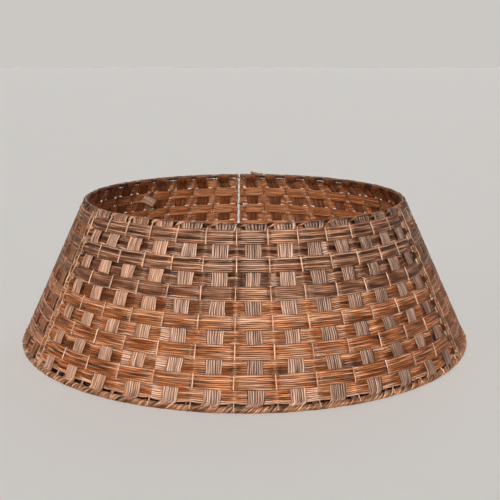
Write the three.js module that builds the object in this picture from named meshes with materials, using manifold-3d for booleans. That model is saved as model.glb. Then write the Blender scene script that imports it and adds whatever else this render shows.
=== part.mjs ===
// Woven collar that stands round the foot of a christmas tree.
// Three curved wicker panels make a cone that is open at the top and at the bottom.
// Each panel is a wire frame with thin stakes, broad flat bands that run up between the stakes
// and twelve rows of flat strand, woven over one and under one.
// Loops of cord join the panels at the front seams, and a tie closes the seam at the back.
// Millimetres, +Z up, the front panel faces -Y, and the origin lies on the floor at the middle.
import * as THREE from 'three';
import { mergeVertices } from 'three/addons/utils/BufferGeometryUtils.js';
import Module from 'manifold-3d';

const wasm = await Module();
wasm.setup();

// Wall of the collar, at the middle of its thickness
const baseDiameter = 694; // at the bottom rim wire
const topDiameter = 495; // at the top rim wire
const rimRise = 213; // from the bottom rim wire up to the top one
const panelCount = 3;
const seamGapBase = 12; // between the side wires of neighbours, at the bottom
const seamGapTop = 8.4; // the same at the top
const footCut = 0.8; // depth of the flat on which the bottom border stands

// Wires and stakes
const rimWireDiameter = 3;
const sideWireDiameter = 2.4;
const stakeDiameter = 2.3;
const wireSides = 5;
const stakeSides = 4;

// Weave
const bandCount = 13; // broad bands in a panel, with a stake between each two
const rowCount = 12;
const bandWidth = 21;
const bandThickness = 1;
const weftThickness = 1.2;
const weaveGap = 0.3; // between strands that lie on each other
const stakeGap = 0.45; // between a stake and the fold of the strand that passes it
const rowGap = 0.6; // between the edges of two rows
const rowsAboveBase = 6; // from the bottom rim wire to the lowest row
const rowsBelowTop = 6.5; // from the highest row to the top rim wire
const turnedWidth = 11.6; // a strand is drawn together where it turns round a side wire
const tuckLength = 5; // how far the turned end runs back from the side wire
const turnSlack = 0.6; // more room at the corner where the strand dips past the side wire

// Borders that the ends of the bands make over the rim wires
const borderCrown = 2.1; // thickness over the rim wire
const borderWall = 1.5; // thickness inside the rim wire
const borderNose = 1.6; // reach outside the middle of the wall
const borderBevel = 1.5;
const borderLeg = 2; // how far the inner wall reaches past the rim wire
const borderEnd = 2.9; // reach past the side wire

// Cord loops of the hinged seams, placed at the edge above a row counted from the bottom
const loopCordDiameter = 1.2;
const loopGap = 0.6; // between the cord and a side wire
const loopTurns = 1.5;
const loopPitch = 1.65;
const loopSides = 5;
const loopHalfSteps = 5; // steps of the cord in half a turn: a straight run and a half circle
const loopRows = [1, 5, 9];

// Tie of the back seam
const tieThickness = 1.2;
const tieWidth = 2.4;
const tieGap = 0.5; // between the ring and the side wire
const tieHeadSize = 5.4;
const tieHeadInset = 6; // from the side wire to the middle of the head
const tieRow = 9;
const tieSides = 16;

const fullTurn = 2 * Math.PI;
const baseRadius = baseDiameter / 2;
const topRadius = topDiameter / 2;
const rimWireRadius = rimWireDiameter / 2;
const sideWireRadius = sideWireDiameter / 2;
const stakeRadius = stakeDiameter / 2;
const slant = Math.hypot(baseRadius - topRadius, rimRise);
const leanSine = (baseRadius - topRadius) / slant;
const leanCosine = rimRise / slant;
const panelAngle = fullTurn / panelCount;
const baseEdgeAngle = panelAngle / 2 - Math.asin(seamGapBase / 2 / baseRadius);
const topEdgeAngle = panelAngle / 2 - Math.asin(seamGapTop / 2 / topRadius);
const rowPitch = (slant - rowsAboveBase - rowsBelowTop) / rowCount;
const rowWidth = rowPitch - rowGap;

// The rim wires lie inside the stakes and the bands
const rimWireOut = -(rimWireRadius + bandThickness / 2 + weaveGap);
const rimChannel = rimWireRadius + weaveGap;
const borderInnerFace = rimWireOut - rimChannel;
const borderSkin = borderInnerFace - borderWall;
const borderTop = rimChannel + borderCrown;

// The lowest point of the bottom border sets the height of the bottom rim wire
const borderLowest = borderTop * leanCosine - (borderSkin + borderBevel) * leanSine;
const footHeight = borderLowest - footCut;

const colours = {
  strand: 0x9c5f33,
  strandDark: 0x7c5137,
  band: 0x96796b,
  stake: 0xc08c60,
  cord: 0x5a3622,
};

function finish(colour, roughness) {
  return new THREE.MeshStandardMaterial({ color: colour, roughness, metalness: 0 });
}

// An upright line of the wall, from its foot at the bottom rim to its head at the top rim,
// with the directions that point along it, across the wall and out of the wall
function wallLine(foot, head, azimuth) {
  const along = head.clone().sub(foot).normalize();
  const away = new THREE.Vector3(Math.sin(azimuth), -Math.cos(azimuth), 0);
  const across = along.clone().cross(away).normalize();
  const out = across.clone().cross(along).normalize();
  return { foot, head, along, across, out };
}

function ringPoint(radius, azimuth, z) {
  return new THREE.Vector3(radius * Math.sin(azimuth), -radius * Math.cos(azimuth), z);
}

// Line of stake number `place`; the first and the last are the side wires
function stakeLine(place) {
  const share = (2 * place) / bandCount - 1;
  const foot = ringPoint(baseRadius, baseEdgeAngle * share, footHeight);
  const head = ringPoint(topRadius, topEdgeAngle * share, footHeight + rimRise);
  return wallLine(foot, head, ((baseEdgeAngle + topEdgeAngle) / 2) * share);
}

// Middle line of band number `place`, half-way between two stakes
function bandLine(place) {
  const before = stakeLine(place);
  const after = stakeLine(place + 1);
  const foot = before.foot.clone().lerp(after.foot, 1 / 2);
  const head = before.head.clone().lerp(after.head, 1 / 2);
  const share = (2 * place + 1) / bandCount - 1;
  return wallLine(foot, head, ((baseEdgeAngle + topEdgeAngle) / 2) * share);
}

// A point beside a wall line: `level` runs up the slant from the bottom rim wire
function pointOn(line, across, level, out) {
  const point = line.foot.clone().lerp(line.head, level / slant);
  point.addScaledVector(line.across, across);
  return point.addScaledVector(line.out, out);
}

// Closed solid through rings of points; the outline gives the flat shape of its two ends
function loft(rings, outline) {
  const positions = rings.flat().flatMap((point) => point.toArray());
  const count = outline.length;
  const faces = [];
  for (let ring = 0; ring + 1 < rings.length; ring += 1) {
    for (let side = 0; side < count; side += 1) {
      const next = (side + 1) % count;
      const a = ring * count + side;
      const b = ring * count + next;
      faces.push(a, b, b + count, a, b + count, a + count);
    }
  }
  const last = (rings.length - 1) * count;
  const clockwise = THREE.ShapeUtils.isClockWise(outline);
  for (const [a, ...rest] of THREE.ShapeUtils.triangulateShape(outline, [])) {
    const [b, c] = clockwise ? rest.reverse() : rest;
    faces.push(a, c, b, last + a, last + b, last + c);
  }
  const geometry = new THREE.BufferGeometry();
  geometry.setAttribute('position', new THREE.Float32BufferAttribute(positions, 3));
  geometry.setIndex(faces);
  return geometry;
}

function toSolid(geometry) {
  const bare = geometry.clone();
  bare.deleteAttribute('normal');
  bare.deleteAttribute('uv');
  const merged = mergeVertices(bare);
  return new wasm.Manifold(new wasm.Mesh({
    numProp: 3,
    vertProperties: new Float32Array(merged.attributes.position.array),
    triVerts: new Uint32Array(merged.index.array),
  }));
}

function toGeometry(solid) {
  const mesh = solid.getMesh();
  const geometry = new THREE.BufferGeometry();
  geometry.setAttribute('position', new THREE.BufferAttribute(mesh.vertProperties, 3));
  geometry.setIndex(new THREE.BufferAttribute(mesh.triVerts, 1));
  return geometry;
}

function joinAll(geometries) {
  return geometries.map(toSolid).reduce((whole, piece) => whole.add(piece));
}

// Points of a regular outline, with one corner pointing along the first axis
function roundOutline(radius, sides) {
  return Array.from({ length: sides }, (_, side) => {
    const angle = (fullTurn * side) / sides;
    return new THREE.Vector2(radius * Math.cos(angle), radius * Math.sin(angle));
  });
}

// Rings of an outline carried along a rim: the outline's x points out of the wall,
// and its y points away from the weave, up at the top rim and down at the bottom rim
function rimRings(outline, level, direction, overrun) {
  return Array.from({ length: bandCount + 1 }, (_, place) => {
    const past = place === 0 ? -overrun : place === bandCount ? overrun : 0;
    const line = stakeLine(place);
    return outline.map((spot) => pointOn(line, past, level + direction * spot.y, spot.x));
  });
}

function rimSweep(outline, level, direction, overrun) {
  const turned = direction < 0 ? outline : outline.slice().reverse();
  return loft(rimRings(turned, level, direction, overrun), turned);
}

// Wire frame: two rim wires, twelve stakes and two side wires, welded where they cross
function frameGeometry() {
  const rimOutline = roundOutline(rimWireRadius, wireSides)
    .map((spot) => spot.add(new THREE.Vector2(rimWireOut, 0)));
  const pieces = [0, slant].map((level) => rimSweep(rimOutline, level, 1, sideWireRadius));
  for (let place = 0; place <= bandCount; place += 1) {
    const atSide = place === 0 || place === bandCount;
    const sides = atSide ? wireSides : stakeSides;
    const outline = roundOutline(atSide ? sideWireRadius : stakeRadius, sides);
    const line = stakeLine(place);
    const rings = [-rimWireRadius, slant + rimWireRadius]
      .map((level) => outline.map((spot) => pointOn(line, -spot.y, level, -spot.x)));
    pieces.push(loft(rings, outline));
  }
  return toGeometry(joinAll(pieces));
}

// Section of a border over its rim wire, in reach out of the wall and rise over the wire
function borderOutline() {
  return [
    [borderInnerFace, -borderLeg],
    [borderInnerFace, rimChannel],
    [borderNose, rimChannel],
    [borderNose - borderBevel, borderTop],
    [borderSkin + borderBevel, borderTop],
    [borderSkin, -borderLeg],
  ].map(([out, rise]) => new THREE.Vector2(out, rise));
}

// The bands of a panel and the borders that their folded ends make
function bandsGeometry() {
  const outline = borderOutline();
  const pieces = [
    rimSweep(outline, 0, -1, borderEnd),
    rimSweep(outline, slant, 1, borderEnd),
  ];
  const reach = rimChannel + borderCrown / 2;
  const section = [
    new THREE.Vector2(-bandWidth / 2, -bandThickness / 2),
    new THREE.Vector2(bandWidth / 2, -bandThickness / 2),
    new THREE.Vector2(bandWidth / 2, bandThickness / 2),
    new THREE.Vector2(-bandWidth / 2, bandThickness / 2),
  ];
  for (let place = 0; place < bandCount; place += 1) {
    const line = bandLine(place);
    const rings = [-reach, slant + reach]
      .map((level) => section.map((spot) => pointOn(line, spot.x, level, -spot.y)));
    pieces.push(loft(rings, section));
  }
  const floorSlab = new THREE.BoxGeometry(2 * baseDiameter, 2 * baseDiameter, footHeight);
  floorSlab.translate(0, 0, -footHeight / 2);
  return toGeometry(joinAll(pieces).subtract(toSolid(floorSlab)));
}

// One row of flat strand. `side` is 1 where it lies outside the bands and -1 where inside.
// It crosses the wall beside each stake, and each end turns round a side wire and back.
function weftGeometry(row, side) {
  const level = slant - rowsBelowTop - (row + 1 / 2) * rowPitch;
  const half = weftThickness / 2;
  const bandOut = side * (bandThickness / 2 + weaveGap + half);
  const stakeOut = -side * (stakeRadius + stakeGap + half);
  const turn = sideWireRadius + weaveGap + half;
  const dip = turn + turnSlack;
  const crossing = bandWidth / 2 + weaveGap;
  const stations = [];
  const add = (line, across, out, width, leanAcross, leanOut) => {
    stations.push({ line, across, out, width, leanAcross, leanOut });
  };
  const first = stakeLine(0);
  const last = stakeLine(bandCount);
  add(first, tuckLength, side * turn, turnedWidth, 0, -half);
  add(first, -turn, side * turn, turnedWidth, side * half, -half);
  add(first, -turn, -side * dip, turnedWidth, side * half, half);
  for (let place = 0; place < bandCount; place += 1) {
    const line = bandLine(place);
    add(line, -crossing, bandOut, rowWidth, 0, half);
    add(line, crossing, bandOut, rowWidth, 0, half);
    if (place + 1 < bandCount) {
      add(stakeLine(place + 1), 0, stakeOut, rowWidth, 0, half);
    }
  }
  add(last, turn, -side * dip, turnedWidth, -side * half, half);
  add(last, turn, side * turn, turnedWidth, -side * half, -half);
  add(last, -tuckLength, side * turn, turnedWidth, 0, -half);
  const section = [[-1, -1], [1, -1], [1, 1], [-1, 1]];
  const rings = stations.map((spot) => section.map(([up, face]) => pointOn(
    spot.line,
    spot.across + face * spot.leanAcross,
    level + (up * spot.width) / 2,
    spot.out + face * spot.leanOut,
  )));
  return loft(rings, section.map(([x, y]) => new THREE.Vector2(x, y)));
}

// Level of the edge between two rows, counted from the bottom
function rowEdge(rowsBelow) {
  return rowsAboveBase + rowsBelow * rowPitch;
}

// Path of a cord loop round two side wires: straight runs and half circles, rising as it goes
class SeamLoop extends THREE.Curve {
  constructor(from, to, along) {
    super();
    this.middle = from.clone().lerp(to, 1 / 2);
    this.reach = from.distanceTo(to) / 2;
    this.across = to.clone().sub(from).normalize();
    this.along = along;
    this.out = this.across.clone().cross(along).normalize();
    this.radius = sideWireRadius + loopGap + loopCordDiameter / 2;
  }

  getUtoTmapping(u) {
    return u;
  }

  getPoint(t) {
    const turn = t * loopTurns;
    const share = (2 * (turn % 1)) % 1;
    const atStart = turn % 1 < 1 / 2;
    const runShare = 1 / loopHalfSteps;
    const end = atStart ? 1 : -1;
    const round = Math.max((share - runShare) / (1 - runShare), 0);
    const angle = Math.PI * (round - 1 / 2) + (atStart ? 0 : Math.PI);
    const run = Math.min(share / runShare, 1) * 2 * this.reach - this.reach;
    const rise = (turn - loopTurns / 2) * loopPitch;
    return this.middle.clone()
      .addScaledVector(this.across, end * run + this.radius * Math.cos(angle))
      .addScaledVector(this.out, this.radius * Math.sin(angle))
      .addScaledVector(this.along, rise);
  }
}

function loopGeometry(fixedLine, movingLine, rowsBelow) {
  const level = rowEdge(rowsBelow);
  const from = pointOn(fixedLine, 0, level, 0);
  const to = pointOn(movingLine, 0, level, 0);
  const path = new SeamLoop(from, to, movingLine.along);
  const steps = Math.round(loopTurns * 2 * loopHalfSteps);
  const section = new THREE.Shape(roundOutline(loopCordDiameter / 2, loopSides));
  return new THREE.ExtrudeGeometry(section, { steps, extrudePath: path, bevelEnabled: false });
}

// Tie at the back seam, drawn across the wall and inwards from the side wire: a ring round the
// wire, a tongue that reaches over the gap, and a neck with a square head on the inside
function tieGeometry() {
  const inner = sideWireRadius + tieGap;
  const outer = inner + tieThickness;
  const middle = (inner + outer) / 2;
  const turnedEdge = sideWireRadius + weaveGap + weftThickness;
  const gapShare = rowEdge(tieRow) / slant;
  const gap = seamGapBase + (seamGapTop - seamGapBase) * gapShare;
  const tongueEnd = gap - turnedEdge - weaveGap;
  const headFace = turnedEdge + weaveGap;
  const armEnd = headFace + tieThickness;
  const ring = new THREE.Shape(roundOutline(outer, tieSides));
  ring.holes.push(new THREE.Path(roundOutline(inner, tieSides)));
  const block = (left, right, near, far, width) => {
    const box = new THREE.BoxGeometry(right - left, far - near, width);
    return box.translate((left + right) / 2, (near + far) / 2, tieWidth / 2);
  };
  return toGeometry(joinAll([
    new THREE.ExtrudeGeometry(ring, { depth: tieWidth, bevelEnabled: false }),
    block(middle, tongueEnd, -tieThickness / 2, tieThickness / 2, tieWidth),
    block(-tieThickness / 2, tieThickness / 2, middle, armEnd, tieWidth),
    block(-tieHeadInset, 0, headFace, armEnd, tieWidth),
    block(
      -tieHeadInset - tieHeadSize / 2,
      -tieHeadInset + tieHeadSize / 2,
      headFace,
      headFace + tieHeadSize,
      tieHeadSize,
    ),
  ]));
}

function addMesh(parent, name, geometry, material) {
  const mesh = new THREE.Mesh(geometry, material);
  mesh.name = name;
  parent.add(mesh);
  return mesh;
}

const strandFinish = finish(colours.strand, 0.45);
const darkStrandFinish = finish(colours.strandDark, 0.45);
const bandFinish = finish(colours.band, 0.4);
const stakeFinish = finish(colours.stake, 0.55);
const cordFinish = finish(colours.cord, 0.6);
const darkRows = 5; // the rows above are of a darker strand

const frameShape = frameGeometry();
const bandsShape = bandsGeometry();
const weftShapes = Array.from({ length: rowCount }, (_, row) => weftGeometry(row, row % 2 ? -1 : 1));

function addPanel(parent, side, azimuth) {
  const panel = new THREE.Group();
  panel.rotation.z = azimuth;
  parent.add(panel);
  addMesh(panel, `${side}_wire_frame`, frameShape, stakeFinish);
  addMesh(panel, `${side}_bands`, bandsShape, bandFinish);
  weftShapes.forEach((shape, row) => {
    const number = String(row + 1).padStart(2, '0');
    addMesh(panel, `${side}_weft_${number}`, shape, row < darkRows ? darkStrandFinish : strandFinish);
  });
  return panel;
}

// The same wall line on the panel that stands next, one panel angle further round
function turnedLine(line, azimuth) {
  const axis = new THREE.Vector3(0, 0, 1);
  const turned = {};
  for (const [key, vector] of Object.entries(line)) {
    turned[key] = vector.clone().applyAxisAngle(axis, azimuth);
  }
  return turned;
}

const collar = new THREE.Group();
addPanel(collar, 'front', 0);
const rightPanel = addPanel(collar, 'right', panelAngle);
addPanel(collar, 'left', -panelAngle);

const firstLine = stakeLine(0);
const lastLine = stakeLine(bandCount);
const seams = [
  ['left', firstLine, turnedLine(lastLine, -panelAngle)],
  ['right', lastLine, turnedLine(firstLine, panelAngle)],
];
for (const [side, fixedLine, movingLine] of seams) {
  loopRows.forEach((rowsBelow, index) => {
    const shape = loopGeometry(fixedLine, movingLine, rowsBelow);
    addMesh(collar, `${side}_seam_loop_${index + 1}`, shape, cordFinish);
  });
}

const tie = addMesh(rightPanel, 'back_tie', tieGeometry(), cordFinish);
const tieLevel = rowEdge(tieRow);
const inwards = lastLine.out.clone().negate();
const tieFrame = new THREE.Matrix4().makeBasis(lastLine.across, inwards, lastLine.along);
tie.quaternion.setFromRotationMatrix(tieFrame);
tie.position.copy(pointOn(lastLine, 0, tieLevel, 0).addScaledVector(lastLine.along, -tieWidth / 2));

export default collar;
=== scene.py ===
"""Woven collar that stands round the foot of a christmas tree.

Three curved panels of flat fibre strand stand in a ring. Each strand of a panel is a bundle of
seven fine ribs, and every rib is its own closed flat strip. They are drawn on the collar's wall:
`place` counts the stakes of a panel from its left side wire, `level` runs up the slant from the
bottom rim wire and `out` stands off the middle of the wall. A rib's `tone` is 0 where it is dark,
0.5 in its own colour and 1 where it is pale, and past these it nears the darkest or palest shade.
Metres, +Z up, the front panel at -Y.
"""

import math

import bmesh
import bpy
import numpy as np
from mathutils import Matrix, Vector


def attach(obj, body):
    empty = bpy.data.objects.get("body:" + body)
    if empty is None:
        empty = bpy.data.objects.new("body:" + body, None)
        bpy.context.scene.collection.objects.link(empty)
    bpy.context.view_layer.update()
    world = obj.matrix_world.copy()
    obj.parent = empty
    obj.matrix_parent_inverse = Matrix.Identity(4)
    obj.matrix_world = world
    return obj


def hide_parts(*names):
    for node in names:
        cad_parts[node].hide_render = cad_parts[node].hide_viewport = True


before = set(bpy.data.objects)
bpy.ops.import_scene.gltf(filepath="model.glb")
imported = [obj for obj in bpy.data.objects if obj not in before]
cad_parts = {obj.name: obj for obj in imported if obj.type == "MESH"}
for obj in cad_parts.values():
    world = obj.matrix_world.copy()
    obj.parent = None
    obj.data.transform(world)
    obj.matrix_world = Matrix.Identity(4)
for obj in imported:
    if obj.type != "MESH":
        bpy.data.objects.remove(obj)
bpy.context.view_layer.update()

# Sizes of the wall and the weave, as the solids have them
BASE_RADIUS = 0.347
TOP_RADIUS = 0.2475
RIM_RISE = 0.213
FOOT_HEIGHT = 0.0044687
BANDS = 13
ROWS = 12
RIBS = 7
PANEL_ANGLE = math.tau / 3
SEAM_GAP_BASE = 0.012
SEAM_GAP_TOP = 0.0084
BASE_EDGE = PANEL_ANGLE / 2 - math.asin(SEAM_GAP_BASE / 2 / BASE_RADIUS)
TOP_EDGE = PANEL_ANGLE / 2 - math.asin(SEAM_GAP_TOP / 2 / TOP_RADIUS)
SLANT = math.hypot(BASE_RADIUS - TOP_RADIUS, RIM_RISE)
ROWS_ABOVE_BASE = 0.006
ROWS_BELOW_TOP = 0.0065
ROW_PITCH = (SLANT - ROWS_ABOVE_BASE - ROWS_BELOW_TOP) / ROWS
BAND_WIDTH = 0.021
RIM_OUT = -0.0023
RIM_WIRE = 0.003
SIDE_WIRE = 0.0024
STAKE = 0.0018
DARK_ROWS = 5
# Numbers of rows below the cord loops and below the tie
LOOP_ROWS = (1, 5, 9)
TIE_ROWS = (9,)
# The least height of a border's strands above the floor
FLOOR_GAP = 0.0002

# Turn of each panel round the ring, and the seed of its random draws
PANELS = {"front": 0.0, "right": PANEL_ANGLE, "left": -PANEL_ANGLE}
SEEDS = {"front": 40, "right": 41, "left": 42}

# Paces of the waves in a wander, and what their sum is divided by
WANDER_PACES = (1, 1.7, 2.9)
WANDER_SUM = 1.5


def srgb(red, green, blue):
    """Linear colour of a shade given in screen values."""
    shades = [value / 255 for value in (red, green, blue)]
    return tuple(
        shade / 12.92 if shade <= 0.04045 else ((shade + 0.055) / 1.055) ** 2.4 for shade in shades
    ) + (1.0,)


# The wall

def unit(ways):
    return ways / np.linalg.norm(ways, axis=-1, keepdims=True)


def ring_point(radius, azimuth, height):
    return np.stack(
        [radius * np.sin(azimuth), -radius * np.cos(azimuth), height + 0 * azimuth], axis=-1
    )


def wall(place, level, out):
    """Points of the wall, with the ways that run across it, up it and out of it there."""
    place, level, out = np.broadcast_arrays(
        *(np.asarray(value, dtype=float) for value in (place, level, out))
    )
    share = 2 * place / BANDS - 1
    foot = ring_point(BASE_RADIUS, BASE_EDGE * share, FOOT_HEIGHT)
    head = ring_point(TOP_RADIUS, TOP_EDGE * share, FOOT_HEIGHT + RIM_RISE)
    up = unit(head - foot)
    away = ring_point(1.0, (BASE_EDGE + TOP_EDGE) / 2 * share, 0.0)
    across = unit(np.cross(up, away))
    outward = np.cross(across, up)
    points = foot + (head - foot) * (level / SLANT)[..., None] + outward * out[..., None]
    return points, across, up, outward


def stake_pitch(level):
    """Distance between two stakes at this level."""
    share = level / SLANT
    return 2 * (BASE_RADIUS * BASE_EDGE * (1 - share) + TOP_RADIUS * TOP_EDGE * share) / BANDS


def row_level(row):
    return SLANT - ROWS_BELOW_TOP - (row + 0.5) * ROW_PITCH


def row_edge(rows_below):
    return ROWS_ABOVE_BASE + rows_below * ROW_PITCH


def ease(share):
    share = np.clip(share, 0, 1)
    return share * share * (3 - 2 * share)


def wander(chance, along, reach, length):
    """A slow wander of about this reach along a strand."""
    waves = [
        np.sin(math.tau * (along * pace / length + chance.random())) / pace
        for pace in WANDER_PACES
    ]
    return reach * sum(waves) / WANDER_SUM


def mottled(chance, mean, spread):
    """A tone near this mean, kept between dark and pale."""
    return min(max(mean + chance.normal(0, spread), 0), 1)


def uneven_ribs(chance, count, spread):
    """Middles and widths of ribs that lie side by side, as shares of the mean rib."""
    widths = chance.uniform(1 - spread, 1 + spread, count)
    widths = widths * count / widths.sum()
    return np.cumsum(widths) - widths / 2 - count / 2, widths


# Strands

def route(middle, wide, width, thickness, tone=0.5):
    """The way of one rib: its middle line, the way its width lies, and its size there."""
    count = len(middle)
    full = lambda value: np.broadcast_to(np.asarray(value, dtype=float), (count,))
    return {
        "middle": middle,
        "wide": np.broadcast_to(wide, (count, 3)),
        "width": full(width),
        "thickness": full(thickness),
        "tone": full(tone),
    }


def add_object(name, data):
    item = bpy.data.objects.new(name, data)
    bpy.context.scene.collection.objects.link(item)
    return item


# Straight strips already drawn, by their number, steps and sides
STRAIGHT = {}


def straight_strips(count, steps, sides):
    """Closed straight strips side by side, with the step and corner of each vertex."""
    if (count, steps, sides) not in STRAIGHT:
        strips = bmesh.new()
        for number in range(count):
            ends = bmesh.ops.create_cone(
                strips, cap_ends=True, segments=sides, radius1=0.5, radius2=0.5, depth=1
            )["verts"]
            bmesh.ops.translate(strips, verts=ends, vec=(2 * number, 0, 0.5))
            lengthways = {
                edge for vert in ends for edge in vert.link_edges
                if abs(edge.verts[0].co.z - edge.verts[1].co.z) > 0.5
            }
            bmesh.ops.subdivide_edges(strips, edges=list(lengthways), cuts=steps - 2)
        mesh = bpy.data.meshes.new("straight strips")
        strips.to_mesh(mesh)
        strips.free()
        drawn = np.empty(len(mesh.vertices) * 3)
        mesh.vertices.foreach_get("co", drawn)
        drawn = drawn.reshape(-1, 3)
        numbers = np.rint(drawn[:, 0] / 2).astype(int)
        order = np.argsort(numbers, kind="stable").reshape(count, -1)
        across = (drawn[:, 0] - 2 * numbers)[order]
        crown = drawn[:, 1][order]
        step = np.rint(drawn[:, 2][order] * (steps - 1)).astype(int)
        STRAIGHT[count, steps, sides] = (
            mesh, order, step, across / np.abs(across).max(), crown / np.abs(crown).max()
        )
    return STRAIGHT[count, steps, sides]


def lay_strands(name, routes, material, turn=0.0, sides=6, on_floor=False):
    """One piece of closed strips, one to a route, drawn straight and then laid on the routes."""
    count, steps = len(routes), len(routes[0]["middle"])
    straight, order, step, across, crown = straight_strips(count, steps, sides)
    middle, wide, width, thickness, tone = (
        np.stack([way[part] for way in routes])
        for part in ("middle", "wide", "width", "thickness", "tone")
    )
    forward = np.gradient(middle, axis=1)
    face = unit(np.cross(forward, wide))
    wide = unit(np.cross(face, forward))
    strip = np.arange(count)[:, None]
    laid = np.empty((order.size, 3))
    laid[order] = (
        middle[strip, step]
        + wide[strip, step] * (across * width[strip, step] / 2)[..., None]
        + face[strip, step] * (crown * thickness[strip, step] / 2)[..., None]
    )
    if turn:
        laid = laid @ np.array(Matrix.Rotation(turn, 3, "Z")).T
    if on_floor:
        laid[:, 2] = np.maximum(laid[:, 2], FLOOR_GAP)
    stretches = np.linalg.norm(np.diff(middle, axis=1), axis=2)
    along = np.concatenate([np.zeros((count, 1)), np.cumsum(stretches, axis=1)], axis=1)
    lay = np.empty((order.size, 3))
    lay[order] = np.stack([along[strip, step], strip + across / 2, tone[strip, step]], axis=-1)
    facing = (face * unit(middle * (1, 1, 0))).sum(axis=-1)
    outside = np.empty(order.size)
    outside[order] = (crown * facing[strip, step] + 1) / 2

    mesh = straight.copy()
    mesh.name = name
    mesh.vertices.foreach_set("co", laid.ravel())
    mesh.attributes.new("lay", "FLOAT_VECTOR", "POINT").data.foreach_set("vector", lay.ravel())
    mesh.attributes.new("outside", "FLOAT", "POINT").data.foreach_set("value", outside)
    mesh.materials.append(material)
    mesh.shade_smooth()
    mesh.update()
    return add_object(name, mesh)


def fit(piece, side, slot, *nodes):
    """Join a piece to its panel and hide the solids of its nodes; the slot is not used."""
    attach(piece, side + "_panel")
    if nodes:
        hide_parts(*nodes)


# Finishes

PALEST = srgb(240, 204, 188)
DARKEST = srgb(26, 16, 10)
# Colour of the painted shade in the seams between ribs
SEAM_SHADE = srgb(58, 30, 14)
SHEEN_TINT = (1.0, 0.68, 0.48, 1.0)
GLOSS = (0.36, 0.5)
# Noise on the ribs: its scale along them, its scale across them and its detail
FIBRE = (70.0, 9.0, 3.0)
STREAK = (26.0, 2.3, 2.0)
PATCH = (12.0, 5.3, 2.0)
RIB_STEP = 3.7  # how far apart the noise of neighbouring ribs lies


def add_node(tree, kind, inputs=(), **settings):
    """A node with its settings, its inputs set to values or joined to sockets."""
    node = tree.nodes.new(kind)
    for key, value in settings.items():
        setattr(node, key, value)
    for key, value in dict(inputs).items():
        if isinstance(value, bpy.types.NodeSocket):
            tree.links.new(value, node.inputs[key])
        else:
            node.inputs[key].default_value = value
    return node


def math_node(tree, operation, first, second=0.0):
    return add_node(tree, "ShaderNodeMath", {0: first, 1: second}, operation=operation).outputs[0]


def ranged(tree, value, low, high, to_low=0.0, to_high=1.0):
    return add_node(
        tree, "ShaderNodeMapRange",
        {"Value": value, "From Min": low, "From Max": high, "To Min": to_low, "To Max": to_high},
    ).outputs["Result"]


def blended(tree, share, first, second, kind="MIX"):
    node = add_node(tree, "ShaderNodeMix", data_type="RGBA", blend_type=kind)
    for number, value in ((0, share), (6, first), (7, second)):
        socket = node.inputs[number]
        if isinstance(value, bpy.types.NodeSocket):
            tree.links.new(value, socket)
        else:
            socket.default_value = value
    return node.outputs[2]


def build_rib_group():
    """Grain and streaks of ribs that lie side by side, and dark seams between them that are painted
    shade.
    """
    group = bpy.data.node_groups.new("rib grain", "ShaderNodeTree")
    sockets = {
        ("INPUT", "Vector"): ("Lay",), ("INPUT", "Float"): ("Outside", "Seam"),
        ("INPUT", "Color"): ("Body", "Pale", "Dark", "Inner"),
        ("OUTPUT", "Color"): ("Colour",), ("OUTPUT", "Float"): ("Roughness", "Height"),
    }
    for (end, kind), names in sockets.items():
        for name in names:
            group.interface.new_socket(name, in_out=end, socket_type="NodeSocket" + kind)
    given = add_node(group, "NodeGroupInput").outputs
    parts = add_node(group, "ShaderNodeSeparateXYZ", {0: given["Lay"]}).outputs
    along, lying, tone = parts["X"], parts["Y"], parts["Z"]
    number = math_node(group, "ROUND", lying)
    off_middle = math_node(group, "ABSOLUTE", math_node(group, "SUBTRACT", lying, number))

    def noise(across, scales):
        along_scale, across_scale, detail = scales
        place = add_node(group, "ShaderNodeCombineXYZ", {
            "X": math_node(group, "MULTIPLY", along, along_scale),
            "Y": math_node(group, "MULTIPLY", across, across_scale),
            "Z": math_node(group, "MULTIPLY", number, RIB_STEP),
        }).outputs[0]
        return add_node(
            group, "ShaderNodeTexNoise", {"Vector": place, "Scale": 1.0, "Detail": detail}
        ).outputs[0]

    fibre = noise(lying, FIBRE)
    streak = noise(lying, STREAK)
    patch = noise(number, PATCH)
    # Inner faces blend to the Inner colour, which is partly painted light and shade inside the ring
    inside = ranged(group, given["Outside"], 0.48, 0.2, 0.0, 0.7)
    layers = (
        (ranged(group, patch, 0.52, 0.76, 0.0, 0.8), given["Dark"]),
        (ranged(group, patch, 0.46, 0.26, 0.0, 0.7), given["Pale"]),
        (ranged(group, tone, 0.5, 1.0), given["Pale"]),
        (ranged(group, tone, 0.5, 0.0), given["Dark"]),
        (ranged(group, tone, 1.0, 2.0), PALEST),
        (ranged(group, tone, 0.0, -1.0), DARKEST),
        (inside, given["Inner"]),
    )
    colour = given["Body"]
    for share, shade in layers:
        colour = blended(group, share, colour, shade)
    grain = math_node(
        group, "MULTIPLY",
        ranged(group, fibre, 0.32, 0.68, 0.72, 1.24), ranged(group, streak, 0.34, 0.66, 0.42, 1.4),
    )
    grey = add_node(group, "ShaderNodeCombineColor", {0: grain, 1: grain, 2: grain}).outputs[0]
    colour = blended(group, 1.0, colour, grey, "MULTIPLY")
    # Painted shade: each rib darkens towards its edges, for the grooves between ribs
    seam = math_node(
        group, "MULTIPLY", ranged(group, off_middle, 0.22, 0.46),
        math_node(group, "MULTIPLY", given["Seam"], ranged(group, streak, 0.36, 0.6, 1.3, 0.6)),
    )
    colour = blended(group, seam, colour, SEAM_SHADE)
    rough = ranged(group, streak, 0.32, 0.68, *GLOSS)
    relief = math_node(group, "ADD", math_node(group, "MULTIPLY", streak, 0.6), fibre)
    add_node(group, "NodeGroupOutput", {"Colour": colour, "Roughness": rough, "Height": relief})
    return group


RIB_GROUP = build_rib_group()


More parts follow.
